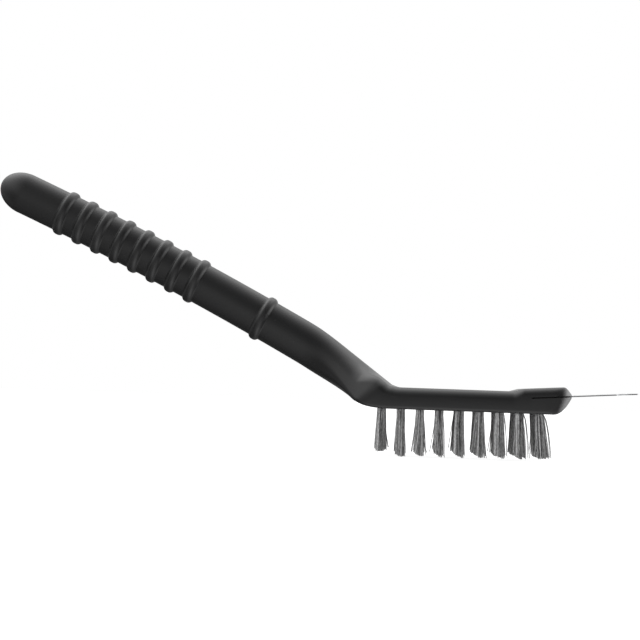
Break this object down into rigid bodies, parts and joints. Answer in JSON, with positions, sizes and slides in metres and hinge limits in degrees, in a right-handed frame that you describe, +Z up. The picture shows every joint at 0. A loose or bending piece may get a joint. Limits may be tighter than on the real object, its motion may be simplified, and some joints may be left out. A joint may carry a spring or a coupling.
{
  "type": "grill brush",
  "caption": "Hand brush for cleaning a barbecue grate: bowed ribbed plastic handle, flat head with steel wire tufts underneath, notched sheet-metal scraper in the nose.",
  "frame": {"origin": "under the middle of the overall box, on the plane of the wire tips", "axes": "+X along the head from the handle towards the scraper, +Y across the head, +Z up from the wire tips to the back of the head"},
  "size_m": [0.3246, 0.0436, 0.1376],
  "materials": {
    "plastic": "black injection-moulded polypropylene, satin",
    "wire": "drawn steel wire, ends cut square",
    "anchor": "flat anchor wire, hidden in the head",
    "blade": "stainless sheet, brushed along its length"
  },
  "bodies": {
    "root": {"handle_body": "plastic", "scraper_blade": "blade", "bristle_row_1": "wire", "bristle_row_2": "wire", "bristle_row_3": "wire", "bristle_row_4": "wire", "tuft_anchor_r1_c1": "anchor", "tuft_anchor_r1_c2": "anchor", "tuft_anchor_r1_c3": "anchor", "tuft_anchor_r1_c4": "anchor", "tuft_anchor_r1_c5": "anchor", "tuft_anchor_r1_c6": "anchor", "tuft_anchor_r1_c7": "anchor", "tuft_anchor_r1_c8": "anchor", "tuft_anchor_r1_c9": "anchor", "tuft_anchor_r2_c1": "anchor", "tuft_anchor_r2_c2": "anchor", "tuft_anchor_r2_c3": "anchor", "tuft_anchor_r2_c4": "anchor", "tuft_anchor_r2_c5": "anchor", "tuft_anchor_r2_c6": "anchor", "tuft_anchor_r2_c7": "anchor", "tuft_anchor_r2_c8": "anchor", "tuft_anchor_r2_c9": "anchor", "tuft_anchor_r3_c1": "anchor", "tuft_anchor_r3_c2": "anchor", "tuft_anchor_r3_c3": "anchor", "tuft_anchor_r3_c4": "anchor", "tuft_anchor_r3_c5": "anchor", "tuft_anchor_r3_c6": "anchor", "tuft_anchor_r3_c7": "anchor", "tuft_anchor_r3_c8": "anchor", "tuft_anchor_r3_c9": "anchor", "tuft_anchor_r4_c1": "anchor", "tuft_anchor_r4_c2": "anchor", "tuft_anchor_r4_c3": "anchor", "tuft_anchor_r4_c4": "anchor", "tuft_anchor_r4_c5": "anchor", "tuft_anchor_r4_c6": "anchor", "tuft_anchor_r4_c7": "anchor", "tuft_anchor_r4_c8": "anchor", "tuft_anchor_r4_c9": "anchor"}
  },
  "joints": []
}
